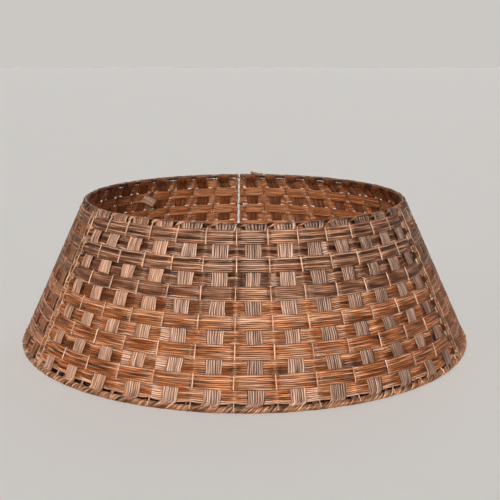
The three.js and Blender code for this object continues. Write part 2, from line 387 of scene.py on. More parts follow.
def new_material(name, colour):
    """A material with its tree and its shader, shown in this colour where it isn't rendered."""
    material = bpy.data.materials.new(name)
    material.use_nodes = True
    material.diffuse_color = colour
    return material, material.node_tree, material.node_tree.nodes["Principled BSDF"]


def rib_finish(name, body, pale, dark, inner=None, seam=0.8, shine=0.3):
    """Flat fibre strand: grain along the ribs, thin dark seams of painted shade between them, a
    dull varnish.
    """
    material, tree, shader = new_material(name, body)
    grain = tree.nodes.new("ShaderNodeGroup")
    grain.node_tree = RIB_GROUP
    lay = add_node(tree, "ShaderNodeAttribute", attribute_name="lay").outputs["Vector"]
    outside = add_node(tree, "ShaderNodeAttribute", attribute_name="outside").outputs["Fac"]
    tree.links.new(lay, grain.inputs["Lay"])
    tree.links.new(outside, grain.inputs["Outside"])
    shades = {"Body": body, "Pale": pale, "Dark": dark, "Inner": inner or body, "Seam": seam}
    for key, value in shades.items():
        grain.inputs[key].default_value = value
    bump = add_node(tree, "ShaderNodeBump", {
        "Strength": 0.3, "Distance": 0.0003, "Height": grain.outputs["Height"],
    })
    tree.links.new(grain.outputs["Colour"], shader.inputs["Base Color"])
    tree.links.new(grain.outputs["Roughness"], shader.inputs["Roughness"])
    tree.links.new(bump.outputs["Normal"], shader.inputs["Normal"])
    shader.inputs["Specular IOR Level"].default_value = shine
    shader.inputs["Specular Tint"].default_value = SHEEN_TINT
    return material


# Inner faces of the strands: the wefts' bright warm orange is partly painted light, the glow inside
# the ring, and the bands' darker inner colour is painted shade beside the lit humps of weft
INNER = srgb(244, 152, 90)
BAND_INNER = srgb(158, 84, 36)
CARAMEL = rib_finish("caramel strand", srgb(198, 114, 60), srgb(238, 176, 136), srgb(96, 44, 16),
                     INNER)
BROWN = rib_finish("dark strand", srgb(145, 86, 56), srgb(212, 160, 128), srgb(60, 30, 14), INNER)
GREY_BAND = rib_finish("grey band strand", srgb(170, 128, 110), srgb(218, 174, 150),
                       srgb(84, 58, 48), BAND_INNER, seam=0.75)
TAN_BAND = rib_finish("tan band strand", srgb(182, 124, 92), srgb(230, 180, 150),
                      srgb(100, 60, 40), BAND_INNER, seam=0.7)
BORDER = rib_finish("border strand", srgb(184, 116, 74), srgb(242, 186, 148), srgb(50, 24, 10),
                    srgb(112, 66, 40))
GOLD = rib_finish("golden strand", srgb(160, 100, 58), srgb(208, 146, 100), srgb(84, 46, 22), INNER)
# The side panels' golden band strand is set darker, partly as painted shade of those panels
GOLD_BAND = rib_finish("golden band strand", srgb(162, 104, 62), srgb(208, 148, 104),
                       srgb(90, 50, 26), BAND_INNER, seam=0.7)
# The loose flap's strand is pale, and brightened further as painted light, since the flap faces
# into the ring
LOOSE = rib_finish("loose strand", srgb(236, 186, 158), srgb(250, 214, 190), srgb(168, 116, 88),
                   seam=0.5)
# Painted shade: near-black strand for the head roll and the tucks behind the foot border, so the
# gaps of the borders look dark as in shade; its inner side is lighter
PAINTED_SHADE_STRAND = rib_finish("border strand in painted shade", srgb(44, 24, 12), srgb(72, 42, 26), srgb(22, 11, 5),
                    srgb(120, 72, 44), shine=0.1)
# The wrapped wire's darker inner colour is painted shade inside the ring
PALE_WIRE = rib_finish("pale wrapped wire", srgb(234, 184, 148), srgb(250, 212, 184),
                       srgb(164, 108, 70), srgb(166, 100, 60), seam=0.15)
CORD = rib_finish("seam cord", srgb(118, 76, 48), srgb(160, 112, 78), srgb(66, 38, 22), seam=0.4)
STRAP = rib_finish("dark strap", srgb(58, 38, 30), srgb(92, 66, 54), srgb(30, 18, 14), seam=0.1)


def moulded_finish(name, colour, wear_and_painted_shade):
    """Plain moulded plastic with a faint mottle."""
    material, tree, shader = new_material(name, colour)
    place = add_node(tree, "ShaderNodeTexCoord").outputs["Object"]
    mottle = add_node(
        tree, "ShaderNodeTexNoise", {"Vector": place, "Scale": 900.0, "Detail": 3.0}
    ).outputs[0]
    tree.links.new(blended(tree, ranged(tree, mottle, 0.35, 0.65), colour, wear_and_painted_shade),
                   shader.inputs["Base Color"])
    tree.links.new(ranged(tree, mottle, 0.3, 0.7, 0.35, 0.55), shader.inputs["Roughness"])
    bump = add_node(tree, "ShaderNodeBump", {"Strength": 0.2, "Distance": 0.0002, "Height": mottle})
    tree.links.new(bump.outputs["Normal"], shader.inputs["Normal"])
    return material


PALE_HEAD = moulded_finish("pale tie head", srgb(226, 202, 184), srgb(200, 170, 150))


# Rows of weft

TURN_RADIUS = 0.0019
TURN_STEPS = 8
TUCK = 0.005
RIB_PITCH = 0.0027
RIB_OVERLAP = 1.04
RIB_THICKNESS = 0.0011
# How far a strand stands off the wall over a band, behind a band and past a stake
BAND_OUT = 0.0012
BAND_IN = 0.0024
STAKE_OUT = 0.0013
# Where a strand leaves a stake, and its run to the band: over it, or behind it in pitches
STAKE_HOLD = 0.0004
OVER_RUN = 0.0056
BEHIND_RUN = 0.23
# Shares of its width that a row over or behind the bands loses at a stake, and in a turn
OVER_PINCH = 0.03
BEHIND_PINCH = 0.11
TURN_PINCH = 0.04
# Runs from a side wire in which a row widens and comes level with its turn
GATHER_RUN = 0.011
END_RUN = 0.004
# Shares of its width that a row keeps at its first and its last end
END_GATHER = {"front": (0.6, 0.44), "right": (0.44, 0.85), "left": (0.85, 0.6)}
# How far gathered ribs stand out and in by turns
GATHER_STEP = 0.0006
# The lowest row is narrower and higher, and at the front's left end it is drawn up
LOWEST_SHARE = 0.955
LOWEST_LIFT = 0.0004
RAISED_PLACES = 4.5
RAISED_PINCH = 0.08
RAISED_LIFT = 0.0033
# Ribs that stand off the others for a short way
STRAY_CHANCE = 0.15
STRAY_LIFT = 0.0006
STRAY_REACH = 0.25
# How far the turns at its first and its last end may stand out past the others
BACK_BULGE = {"front": (0, 0), "right": (0, 0.0012), "left": (0.0014, 0)}
# Distances from a stake at which a strand bends round it, and its steps across a band
BESIDE = np.array([0.0008, 0.0018, 0.003, 0.0044, 0.0062, 0.0095])
ACROSS_BAND = [0.38, 0.5, 0.62]
# Ends of new strand that lie pale beside a stake: panel, row and the stretch of places
SPLICES = {
    ("front", 9): [(3.05, 3.3), (4.02, 4.24)],
    ("front", 11): [(4.05, 4.3), (7.7, 7.96)],
    ("front", 7): [(4.02, 4.25)],
    ("front", 3): [(7.02, 7.2)],
    ("front", 1): [(8.7, 8.92)],
    ("left", 7): [(10.02, 10.25)],
    ("right", 5): [(2.04, 2.27)],
    ("right", 10): [(6.1, 6.4)],
}
# Stretches of row that are of darker strand than their neighbours
DARK_STRETCHES = {
    ("front", 5): [(0.0, 5.95)],
    ("front", 3): [(6.1, 7.0)],
    ("right", 5): [(4.0, 9.0)],
    ("left", 5): [(8.0, 13.0)],
}
# Rows whose ends at the front's right side wire are darkened as painted shade for the dark open
# seam there, how far these and the other ends darken, over what run, and how many runs before the
# wire it starts
SHADED_ENDS = (2, 3, 5, 7, 8, 9, 10)
SHADED_TONE = 0.7
OPEN_TONE = 0.1
SHADE_RUN = 0.004
SHADE_AHEAD = 1.8
SPLICE_TONE = 1.35
DARK_SHARE = 0.35
# Painted highlight: how much paler the top and bottom ribs of a row are, as if their edges caught
# the light
EDGE_HIGHLIGHT = 0.2
# How much darker, as painted shade, the side panels and the front's sides are where the light falls
# off
FALLOFF_SHADE = 0.15
# Wanders, as reach and length: of a row, and then of each rib
ROW_DRIFT, ROW_TONE = (0.0003, 0.2), (0.08, 0.3)
RIB_DRIFT, RIB_LIFT, RIB_ROLL = (0.0003, 0.05), (0.00014, 0.045), (0.16, 0.05)
RIB_TONE, RIB_WIDTH = (0.26, 0.08), (0.07, 0.08)


def weft_path(side, row, pitch):
    """Places along a row, how far it stands out at each and the share of its width it keeps."""
    over_bands = row % 2 == 0
    way = 1 if over_bands else -1
    bend = np.linspace(0, math.pi, TURN_STEPS)
    hook_across = np.concatenate([[TUCK, TUCK / 2], -TURN_RADIUS * np.sin(bend)])
    hook_out = way * np.concatenate([[TURN_RADIUS, TURN_RADIUS], TURN_RADIUS * np.cos(bend)])
    cell = np.concatenate([[0], BESIDE / pitch, ACROSS_BAND, 1 - BESIDE[::-1] / pitch])
    woven = (np.arange(BANDS)[:, None] + cell).ravel()[1:]
    place = np.concatenate([hook_across / pitch, woven, BANDS - hook_across[::-1] / pitch])

    off_stake = np.abs(woven - np.rint(woven)) * pitch
    off_end = np.minimum(woven, BANDS - woven) * pitch
    off = ease((off_stake - STAKE_HOLD) / (OVER_RUN if over_bands else BEHIND_RUN * pitch))
    stake_out = STAKE_OUT + (TURN_RADIUS - STAKE_OUT) * ease(1 - off_end / END_RUN)
    woven_out = way * ((BAND_OUT if over_bands else BAND_IN) * off - stake_out * (1 - off))
    out = np.concatenate([hook_out, woven_out, hook_out[::-1]])

    first, last = END_GATHER[side]
    end = np.where(woven < BANDS / 2, first, last)
    pinch = OVER_PINCH if over_bands else BEHIND_PINCH
    drawn_in = (end + (1 - end) * ease(off_end / GATHER_RUN)) * (1 - pinch * (1 - off))
    hook = np.ones(len(hook_across))
    gather = np.concatenate([hook * (first - TURN_PINCH), drawn_in, hook * (last - TURN_PINCH)])
    return way, place, out, gather


def weft_tone(side, row, place, pitch, tone):
    """A rib's tone with what is spliced or of darker strand, and with painted shade: on the side
    panels, towards both sides of the front and at the front's right ends.
    """
    # Painted shade: the ribs darken on the side panels and towards both sides of the front
    wear_and_painted_shade = FALLOFF_SHADE
    if side == "front":
        wear_and_painted_shade = FALLOFF_SHADE * (ease((place - 7.5) / 4) + ease((3.5 - place) / 3))
    tone = np.clip(tone - wear_and_painted_shade, 0, 1)
    for start, end in SPLICES.get((side, row), ()):
        tone = np.where((place > start) & (place < end), SPLICE_TONE, tone)
    for start, end in DARK_STRETCHES.get((side, row), ()):
        tone = np.where((place > start) & (place < end), tone * DARK_SHARE, tone)
    # Painted shade at the ends by the front's right side wire
    if side == "front":
        shaded = ease((place - BANDS) * pitch / SHADE_RUN + SHADE_AHEAD)
        tone = tone * (1 - shaded) - (SHADED_TONE if row in SHADED_ENDS else OPEN_TONE) * shaded
    return tone


def weft_routes(side, row, chance):
    """Seven ribs of one row, each end turned round a side wire and tucked back."""
    row_middle = row_level(row)
    pitch = stake_pitch(row_middle)
    way, row_place, out, gather = weft_path(side, row, pitch)
    along = row_place * pitch
    row_drift = wander(chance, along, *ROW_DRIFT)
    tone_drift = wander(chance, along, *ROW_TONE)
    if row == ROWS - 1:
        row_middle += LOWEST_LIFT
        gather = gather * LOWEST_SHARE
        if side == "front":
            raised = ease(1 - row_place / RAISED_PLACES)
            gather = gather * (1 - RAISED_PINCH * raised)
            row_drift = row_drift + RAISED_LIFT * raised
    middles, widths = uneven_ribs(chance, RIBS, 0.28)
    first_bulge, last_bulge = BACK_BULGE[side]
    routes = []
    for rib in range(RIBS):
        place = row_place + chance.uniform(0, last_bulge / pitch) * (row_place > BANDS)
        place = place - chance.uniform(0, first_bulge / pitch) * (row_place < 0)
        offset = middles[rib] * RIB_PITCH * gather
        level = row_middle + offset + row_drift + wander(chance, along, *RIB_DRIFT)
        lift = wander(chance, along, *RIB_LIFT)
        if chance.random() < STRAY_CHANCE:
            stray = chance.uniform(1, BANDS - 2)
            lift = lift + STRAY_LIFT * way * np.exp(-((place - stray) / STRAY_REACH) ** 2)
        lift = lift + (1 - gather) * GATHER_STEP * (-1) ** rib
        points, across, up, outward = wall(place, level, out + lift)
        roll = wander(chance, along, *RIB_ROLL)
        tone = 0.5 + chance.normal(0, 0.22) + tone_drift + wander(chance, along, *RIB_TONE)
        # Painted highlight along a row's top and bottom ribs
        if rib in (0, RIBS - 1):
            tone = tone + EDGE_HIGHLIGHT
        width = widths[rib] * RIB_PITCH * RIB_OVERLAP * (0.4 + 0.6 * gather)
        width = width * (1 + wander(chance, along, *RIB_WIDTH))
        tone = weft_tone(side, row, place, pitch, tone)
        routes.append(route(points, up + outward * roll[:, None], width, RIB_THICKNESS, tone))
    return routes


# Bands that run up the panel, from the bottom border to the fold over the top rim wire

FOLD_RADIUS = 0.0031
BAND_RIB_PITCH = BAND_WIDTH / RIBS
BAND_OVERLAP = 1.03
BAND_THICKNESS = 0.001
BAND_STEPS = 116
BAND_MARGIN = 0.001
BAND_WAVE = 0.0006
# Runs below the top rim wire in which a band leans, spreads, comes out to its fold and darkens
LEAN_FROM, LEAN_RUN = 0.03, 0.024
SPREAD_FROM, SPREAD_RUN = 0.012, 0.01
HEAD_RUN = 0.008
DARK_FROM, DARK_RUN = 0.007, 0.004
# Runs above the bottom rim wire in which it comes in to the border and is swept aside
FOOT_RUN = 0.006
FOOT_IN = 0.0012
SWEEP_RUN = 0.0075
# Wanders of a band, and then of each of its ribs
BAND_SWAY, BAND_STIR, BAND_FAN = (0.0008, 0.16), (0.0004, 0.05), (0.07, 0.09)
STRIP_SWAY, STRIP_LIFT, STRIP_ROLL = (0.0002, 0.05), (0.00012, 0.03), (0.16, 0.04)
STRIP_TONE, STRIP_WIDTH = (0.1, 0.06), (0.07, 0.05)
# Bands from the left that are tan, and those of the front that are newer, upright and paler
TAN_BANDS = {"front": 4, "right": 7, "left": BANDS}
NEW_BANDS = 5


def band_cast(side, place, chance):
    """How tan a band is, with painted shade on the side panels and towards the front's right, how
    far its head leans aside and how much it spreads.
    """
    tan, lean = chance.normal(0, 0.07), chance.normal(0.0055, 0.001)
    # Bands of the side panels and towards the front's right are darker: painted shade where the
    # light falls off
    if side != "front":
        return tan - 0.15, lean, -0.1
    if place < NEW_BANDS:
        return tan + (0.5 - 0.05 * place), chance.normal(0.0005, 0.001), 0.34
    return tan - 0.1 * float(ease((place - 7) / 4)), lean, 0.42


def band_routes(place, chance, tan, lean, spread):
    """Seven ribs of one band, from inside the bottom border to its tucked end at the top."""
    bend = np.linspace(0, math.pi, 10)
    climb = np.linspace(-BAND_MARGIN, SLANT - BAND_MARGIN, BAND_STEPS)
    folded = len(bend) + 2
    sway = wander(chance, climb, *BAND_SWAY) + wander(chance, climb, *BAND_STIR)
    fan = 1 + wander(chance, climb, *BAND_FAN)
    fan = fan + spread * ease((climb - (SLANT - SPREAD_FROM)) / SPREAD_RUN)
    wave = -BAND_WAVE * np.cos(math.pi * (row_level(0) - climb) / ROW_PITCH)
    near_head = ease(1 - (SLANT - climb) / HEAD_RUN)
    near_foot = ease(1 - climb / FOOT_RUN)
    climb_out = wave * (1 - near_head) + (RIM_OUT + FOLD_RADIUS) * near_head
    climb_out = climb_out * (1 - near_foot) - FOOT_IN * near_foot
    lean_across = lean * ease((climb - (SLANT - LEAN_FROM)) / LEAN_RUN)
    foot_sweep = chance.uniform(0.9, 1.5)
    head_sweep = chance.uniform(-0.25, 0.25)
    middles, widths = uneven_ribs(chance, RIBS, 0.22)
    pad = lambda values: np.concatenate([values, np.full(folded, values[-1])])
    above = np.concatenate([np.ones(len(climb)), np.cos(bend), -np.ones(2)])
    routes = []
    for rib in range(RIBS):
        tail = chance.uniform(0.004, 0.009)
        tucked = np.array([tail / 2, tail])
        level = np.concatenate([climb, SLANT + FOLD_RADIUS * np.sin(bend), SLANT - tucked])
        out = np.concatenate([
            climb_out, RIM_OUT + FOLD_RADIUS * np.cos(bend), [RIM_OUT - FOLD_RADIUS] * 2,
        ])
        past_rim = np.concatenate([
            np.zeros(len(climb)), FOLD_RADIUS * bend, FOLD_RADIUS * math.pi + tucked,
        ])
        offset = middles[rib] * BAND_RIB_PITCH * pad(fan) + pad(sway) + pad(lean_across)
        offset = offset - foot_sweep * np.clip(SWEEP_RUN - level, 0, None) + past_rim * head_sweep
        offset = offset + wander(chance, level, *STRIP_SWAY)
        points, across, up, outward = wall(place + 0.5, level, out)
        lift = wander(chance, level, *STRIP_LIFT) * above
        points = points + across * offset[:, None] + outward * lift[:, None]
        roll = wander(chance, level, *STRIP_ROLL)
        tone = 0.5 + chance.normal(0, 0.2) + tan + wander(chance, level, *STRIP_TONE)
        tone = tone - 0.35 * ease((level - (SLANT - DARK_FROM)) / DARK_RUN)
        if rib == 0 and chance.random() < 0.25 or rib == RIBS - 1 and chance.random() < 0.65:
            tone = tone + 0.35
        width = widths[rib] * BAND_RIB_PITCH * BAND_OVERLAP
        width = width * (1 + wander(chance, level, *STRIP_WIDTH))
        width = width * (1 + max(spread, 0) * ease((level - (SLANT - SPREAD_FROM)) / SPREAD_RUN))
        wide = -across + outward * roll[:, None]
        routes.append(route(points, wide, width, BAND_THICKNESS, np.clip(tone, 0, 1)))
    return routes


# Borders: strand wound round each rim wire

# Rolls: level, out, radius, length of a turn, number and thickness of strands, tone
FOOT_ROLL = (0.0004, -0.0019, 0.0034, 0.025, 7, 0.0018, 0.72)
HEAD_ROLL = (SLANT - 0.0002, -0.0022, 0.0023, 0.02, 6, 0.0009, 0.3)
# Winds at both ends of a border: level, out, radius
FOOT_CORNER = (0.0004, -0.0019, 0.0041)
HEAD_CORNER = (SLANT, RIM_OUT, 0.0036)
# Bundles over the top rim: ranges of their reach along it and of their start, and their tone
TIGHT_WRAP = ((0.010, 0.014), (-0.005, -0.002), 0.75)
LOOSE_WRAP = ((0.017, 0.023), (0.0, 0.001), 0.3)
WIND_THICKNESS = 0.0009
WIND_RADIUS = 0.0018
FOOT_WIND_RADIUS = 0.0034


def wound(points, radial, width, thickness, tone):
    """A strand that lies flat on what it is wound round."""
    wide = np.cross(radial, np.gradient(points, axis=0))
    return route(points, unit(wide), width, thickness, tone)


def round_side_wire(place, level, angle, reach):
    """Points round a side wire: angle 0 lies across the wall and a quarter turn lies outside."""
    points, across, up, outward = wall(place, level, 0.0)
    radial = across * np.cos(angle)[:, None] + outward * np.sin(angle)[:, None]
    return points + radial * np.broadcast_to(reach, angle.shape)[:, None], radial


def round_rim(place, level, out, angle, reach):
    """Points round a rim: angle 0 lies outside the wall and a quarter turn lies up."""
    points, across, up, outward = wall(place, level, out)
    radial = outward * np.cos(angle)[:, None] + up * np.sin(angle)[:, None]
    return points + radial * np.broadcast_to(reach, angle.shape)[:, None], radial, across


def roll_routes(chance, level, out, radius, turn_length, ribs, thickness, tone):
    """Strands that wind round a rim side by side."""
    pitch = stake_pitch(level)
    past = 0.0026 / pitch
    count = int(BANDS * pitch / turn_length * 16)
    place = np.linspace(-past, BANDS + past, count)
    along = place * pitch
    turns = along / turn_length + 0.08 * np.sin(math.tau * place + 1.3)
    slope = math.tau * radius / turn_length
    width = 1.08 * turn_length * slope / math.hypot(1, slope) / ribs
    routes = []
    for rib in range(ribs):
        angle = math.tau * (turns + rib / ribs) + wander(chance, along, 0.12, 0.1)
        swell = 1 + 0.06 * np.sin(math.tau * place + rib)
        reach = radius * swell + wander(chance, along, 0.00022, 0.03)
        points, radial, across = round_rim(place, level, out, angle, reach)
        shade = tone + chance.normal(0, 0.25) + wander(chance, along, 0.45, 0.05)
        routes.append(wound(points, radial, width, thickness, np.clip(shade, 0, 1)))
    return routes


def head_wrap_routes(side, chance):
    """Bundles that rise from beside each stake, go over the top rim and fan out inside."""
    share = np.linspace(0, 1, 20)
    width = 0.0019 * (0.55 + 0.6 * np.sin(math.pi * (0.08 + 0.84 * share)))
    radius = FOLD_RADIUS - 0.0001 + 0.0007 * np.sin(math.pi * share)
    routes = []
    for place in range(BANDS):
        tight = side == "front" and place < NEW_BANDS
        reaches, starts, shade = TIGHT_WRAP if tight else LOOSE_WRAP
        reach = chance.uniform(*reaches)
        start = chance.uniform(*starts)
        for strand in range(4):
            angle = math.pi * (-0.28 + (1.25 + chance.uniform(0, 0.25)) * share)
            offset = start + 0.0007 * strand + (reach + 0.0026 * strand) * share ** 0.85
            points, radial, across = round_rim(place, SLANT, RIM_OUT, angle, radius)
            points = points + across * offset[:, None]
            tone = shade + chance.normal(0, 0.15) + 0.15 * np.sin(math.pi * share)
            routes.append(wound(points, radial, width, WIND_THICKNESS, np.clip(tone, 0, 1)))
    return routes


def head_strand_routes(chance):
    """Two thin strands that run along the top border over the folded bands."""
    place = np.linspace(0.05, BANDS - 0.05, 200)
    along = place * stake_pitch(SLANT)
    routes = []
    for angle in (1.25, 2.0):
        angle = angle + wander(chance, along, 0.3, 0.06)
        reach = FOLD_RADIUS + 0.0007 + wander(chance, along, 0.0003, 0.04)
        points, radial, across = round_rim(place, SLANT, RIM_OUT, angle, reach)
        tone = np.clip(0.8 + wander(chance, along, 0.3, 0.05), 0, 1)
        routes.append(wound(points, radial, 0.0013, WIND_THICKNESS, tone))
    return routes


def foot_tuck_routes(chance):
    """Band ends turned aside behind the bottom border."""
    share = np.linspace(0, 1, 14)
    routes = []
    for place in range(BANDS):
        for strand in range(3):
            reach = chance.uniform(0.85, 1.0)
            level = 0.0036 + 0.002 * strand + 0.0006 * np.sin(math.tau * share + strand)
            run = np.clip(place + 0.85 - reach * share, 0.08, BANDS - 0.08)
            run = run + 0.002 * share
            out = -0.0055 - 0.0006 * strand + 0.0007 * share
            points, across, up, outward = wall(run, level, out)
            routes.append(route(points, up, 0.0024, WIND_THICKNESS, mottled(chance, 0.4, 0.15)))
    return routes


def side_wind_routes(side, chance):
    """Strand wound round a side wire between two rows, where no loop or tie holds it."""
    share = np.linspace(0, 1, 26)
    reach = WIND_RADIUS + 0.0004 * np.sin(math.pi * share)
    held = {
        "front": {0: LOOP_ROWS}, "right": {BANDS: TIE_ROWS}, "left": {0: (), BANDS: LOOP_ROWS},
    }[side]
    routes = []
    for place, rows in held.items():
        for rows_below in range(1, ROWS):
            if rows_below in rows:
                continue
            for strand in range(3):
                angle = math.tau * (strand / 3 + 1.15 * share + chance.uniform(0, 0.1))
                level = row_edge(rows_below) + 0.0078 * (share - 0.5)
                points, radial = round_side_wire(float(place), level, angle, reach)
                routes.append(wound(points, radial, 0.0023, 0.0008, mottled(chance, 0.72, 0.12)))
    return routes


def foot_wind_routes(side, chance):
    """Strand wound into a short roll round the foot of the side wire at a front corner."""
    share = np.linspace(0, 1, 44)
    place = {"front": 0.0, "right": 0.0, "left": float(BANDS)}[side]
    routes = []
    for strand in range(4):
        angle = math.tau * (strand / 4 + 1.7 * share)
        level = 0.0035 + 0.0012 * strand + 0.012 * share
        points, radial = round_side_wire(place, level, angle, FOOT_WIND_RADIUS)
        tone = np.clip(0.85 + chance.normal(0, 0.1) + wander(chance, level, 0.2, 0.004), 0, 1)
        routes.append(wound(points, radial, 0.0022, WIND_THICKNESS, tone))
    return routes


def edge_routes(side, chance):
    """A thin pale strand up a side wire over the turned ends: two on a panel, one in front."""
    level = np.linspace(0.001, SLANT - 0.002, 120)
    ends = ((0.0, 1), (float(BANDS), -1))
    routes = []
    for place, way in ends[:1] if side == "front" else ends:
        out = 0.0031 + 0.0004 * np.cos(math.tau * (row_level(0) - level) / ROW_PITCH)
        points, across, up, outward = wall(place, level, out)
        sway = way * 0.0006 + wander(chance, level, 0.0006, 0.05)
        points = points + across * sway[:, None]
        width = 0.0019 * (1 + wander(chance, level, 0.18, 0.015))
        tone = np.clip(0.5 + wander(chance, level, 0.35, 0.03), 0, 1)
        routes.append(route(points, -across, width, 0.0013, tone))
    return routes


def corner_wind_routes(chance, level, out, radius):
    """Strand wound round both ends of a border, beside the side wires."""
    pitch = stake_pitch(level)
    share = np.linspace(0, 1, 30)
    routes = []
    for place, way in ((0.0, -1), (float(BANDS), 1)):
        for strand in range(3):
            angle = math.tau * (0.2 * strand + 1.3 * share)
            run = way * (-0.004 + 0.0016 * strand + 0.0042 * share)
            reach = radius + 0.0003 * np.sin(math.tau * share * 2 + strand)
            points, radial, across = round_rim(place + run / pitch, level, out, angle, reach)
            routes.append(wound(points, radial, 0.0018, 0.001, mottled(chance, 0.65, 0.12)))
    return routes


# Wire frame: rim wires, side wires and stakes

# A stake's hook round the bottom border: level, out and radius
HOOK_LEVEL, HOOK_OUT, HOOK_RADIUS = 0.0004, -0.0019, 0.0043
# Painted shade: the stakes of the side panels are set darker than those of the front
STAKE_TONE = {"front": 0.6, "right": 0.25, "left": 0.1}


def rim_wire_routes():
    place = np.linspace(-0.02, BANDS + 0.02, 92)
    routes = []
    for level in (0.0, SLANT):
        points, across, up, outward = wall(place, level, RIM_OUT)
        routes.append(route(points, up, RIM_WIRE, RIM_WIRE))
    return routes


def stake_routes(chance, shade):
    """Side wires and stakes; a stake hooks round the border at its foot and leans aside on top."""
    climb = np.linspace(0.006, SLANT - 0.002, 72)
    bend = np.linspace(-0.35, 0.95, 7)
    routes = []
    for place in range(BANDS + 1):
        if place in (0, BANDS):
            level = np.linspace(-0.003, SLANT + 0.003, len(climb) + len(bend))
            points, across, up, outward = wall(place, level, 0.0)
            size, sway = SIDE_WIRE, wander(chance, level, 0.0002, 0.1)
        else:
            level = np.concatenate([HOOK_LEVEL + HOOK_RADIUS * np.sin(bend), climb])
            sway_out = 0.0005 * np.cos(math.pi * (row_level(0) - climb) / ROW_PITCH)
            out = np.concatenate([HOOK_OUT + HOOK_RADIUS * np.cos(bend), sway_out])
            points, across, up, outward = wall(place, level, out)
            size = STAKE
            sway = wander(chance, level, 0.00045, 0.1)
            sway = sway + chance.uniform(0, 0.0012) * ease((level - (SLANT - 0.007)) / 0.005)
        points = points + across * sway[:, None]
        width = size * (1 + wander(chance, level, 0.06, 0.02))
        tone = np.clip(shade + wander(chance, level, 0.25, 0.05), 0, 1)
        routes.append(route(points, -across, width, width, tone))
    return routes


def build_panel(side, turn):
    chance = np.random.default_rng(SEEDS[side])
    dark_finish = GOLD if side == "left" else BROWN
    for row in range(ROWS):
        node = f"{side}_weft_{row + 1:02d}"
        dark = row < DARK_ROWS
        finish = dark_finish if dark else CARAMEL
        piece = lay_strands(f"{node}_ribs", weft_routes(side, row, chance), finish, turn)
        fit(piece, side, "dark_weft_strand" if dark else "weft_strand", node)
    grey_bands, tan_bands = [], []
    for place in range(BANDS):
        bands = tan_bands if place < TAN_BANDS[side] else grey_bands
        bands += band_routes(place, chance, *band_cast(side, place, chance))
    pieces = {
        "grey_band_ribs": (grey_bands, GREY_BAND),
        "tan_band_ribs": (tan_bands, TAN_BAND if side == "front" else GOLD_BAND),
        "foot_roll": (roll_routes(chance, *FOOT_ROLL), BORDER),
        # The foot tucks and the head roll take the painted-shade strand
        "foot_tucks": (foot_tuck_routes(chance), PAINTED_SHADE_STRAND),
        "head_roll": (roll_routes(chance, *HEAD_ROLL), PAINTED_SHADE_STRAND),
        "head_strand": (head_strand_routes(chance), BORDER),
        "head_wraps": (head_wrap_routes(side, chance), BORDER),
        "foot_corner_winds": (corner_wind_routes(chance, *FOOT_CORNER), BORDER),
        "head_corner_winds": (corner_wind_routes(chance, *HEAD_CORNER), BORDER),
        "side_winds": (side_wind_routes(side, chance), BORDER),
        "foot_winds": (foot_wind_routes(side, chance), BORDER),
    }
    for name, (routes, finish) in pieces.items():
        if routes:
            piece = lay_strands(f"{side}_{name}", routes, finish, turn, on_floor=True)
            fit(piece, side, "band_strand", f"{side}_bands")
    wires = {
        "rim_wires": (rim_wire_routes(), 10),
        "edge_strands": (edge_routes(side, chance), 6),
        "stakes": (stake_routes(chance, STAKE_TONE[side]), 10),
    }
    for name, (routes, sides) in wires.items():
        piece = lay_strands(f"{side}_{name}", routes, PALE_WIRE, turn, sides)
        fit(piece, side, "stake_wire", f"{side}_wire_frame")


# Cord loops of the two hinged seams

LOOP_CORD = 0.0012
LOOP_RADIUS = SIDE_WIRE / 2 + 0.0006 + LOOP_CORD / 2
LOOP_TURNS = 1.5
LOOP_PITCH = 0.00165
# Share of a half turn that runs straight from wire to wire
LOOP_STRAIGHT = 0.2
PLY_WIDTH = 0.00066
PLY_REACH = 0.0003
PLY_TWIST = 0.004


def turned_line(place, turn):
    """Foot and head of a wall line on a panel turned this far round the ring."""
    turning = np.array(Matrix.Rotation(turn, 3, "Z"))
    foot, head = (wall(place, level, 0.0)[0] for level in (0.0, SLANT))
    return turning @ foot, turning @ head


def loop_routes(from_line, to_line, level):
    """Three plies of one cord that winds round the two side wires of a seam."""
    start, end = (foot + (head - foot) * level / SLANT for foot, head in (from_line, to_line))
    middle, reach = (start + end) / 2, np.linalg.norm(end - start) / 2
    across = unit(end - start)
    along = unit(to_line[1] - to_line[0])
    outward = np.cross(across, along)
    turn = np.linspace(0, LOOP_TURNS, 72)
    share = (2 * (turn % 1)) % 1
    way = np.where(turn % 1 < 0.5, 1, -1)
    round_wire = np.maximum((share - LOOP_STRAIGHT) / (1 - LOOP_STRAIGHT), 0)
    angle = math.pi * (round_wire - 0.5) + np.where(way > 0, 0, math.pi)
    run = np.minimum(share / LOOP_STRAIGHT, 1) * 2 * reach - reach
    rise = (turn - LOOP_TURNS / 2) * LOOP_PITCH
    path = (
        middle + across * (way * run + LOOP_RADIUS * np.cos(angle))[:, None]
        + outward * (LOOP_RADIUS * np.sin(angle))[:, None] + along * rise[:, None]
    )
    forward = unit(np.gradient(path, axis=0))
    beside = unit(np.cross(forward, along))
    over = np.cross(forward, beside)
    length = np.concatenate([[0], np.cumsum(np.linalg.norm(np.diff(path, axis=0), axis=1))])
    routes = []
    for ply in range(3):
        twist = math.tau * (length / PLY_TWIST + ply / 3)
        radial = beside * np.cos(twist)[:, None] + over * np.sin(twist)[:, None]
        routes.append(route(path + radial * PLY_REACH, over, PLY_WIDTH, PLY_WIDTH))
    return routes


def build_seam_loops():
    seams = {
        "left": (turned_line(0, 0.0), turned_line(BANDS, PANELS["left"])),
        "right": (turned_line(BANDS, 0.0), turned_line(0, PANELS["right"])),
    }
    for side, (from_line, to_line) in seams.items():
        for number, rows_below in enumerate(LOOP_ROWS, 1):
            node = f"{side}_seam_loop_{number}"
            routes = loop_routes(from_line, to_line, row_edge(rows_below))
            fit(lay_strands(f"{node}_cord", routes, CORD, sides=8), "front", "seam_cord", node)


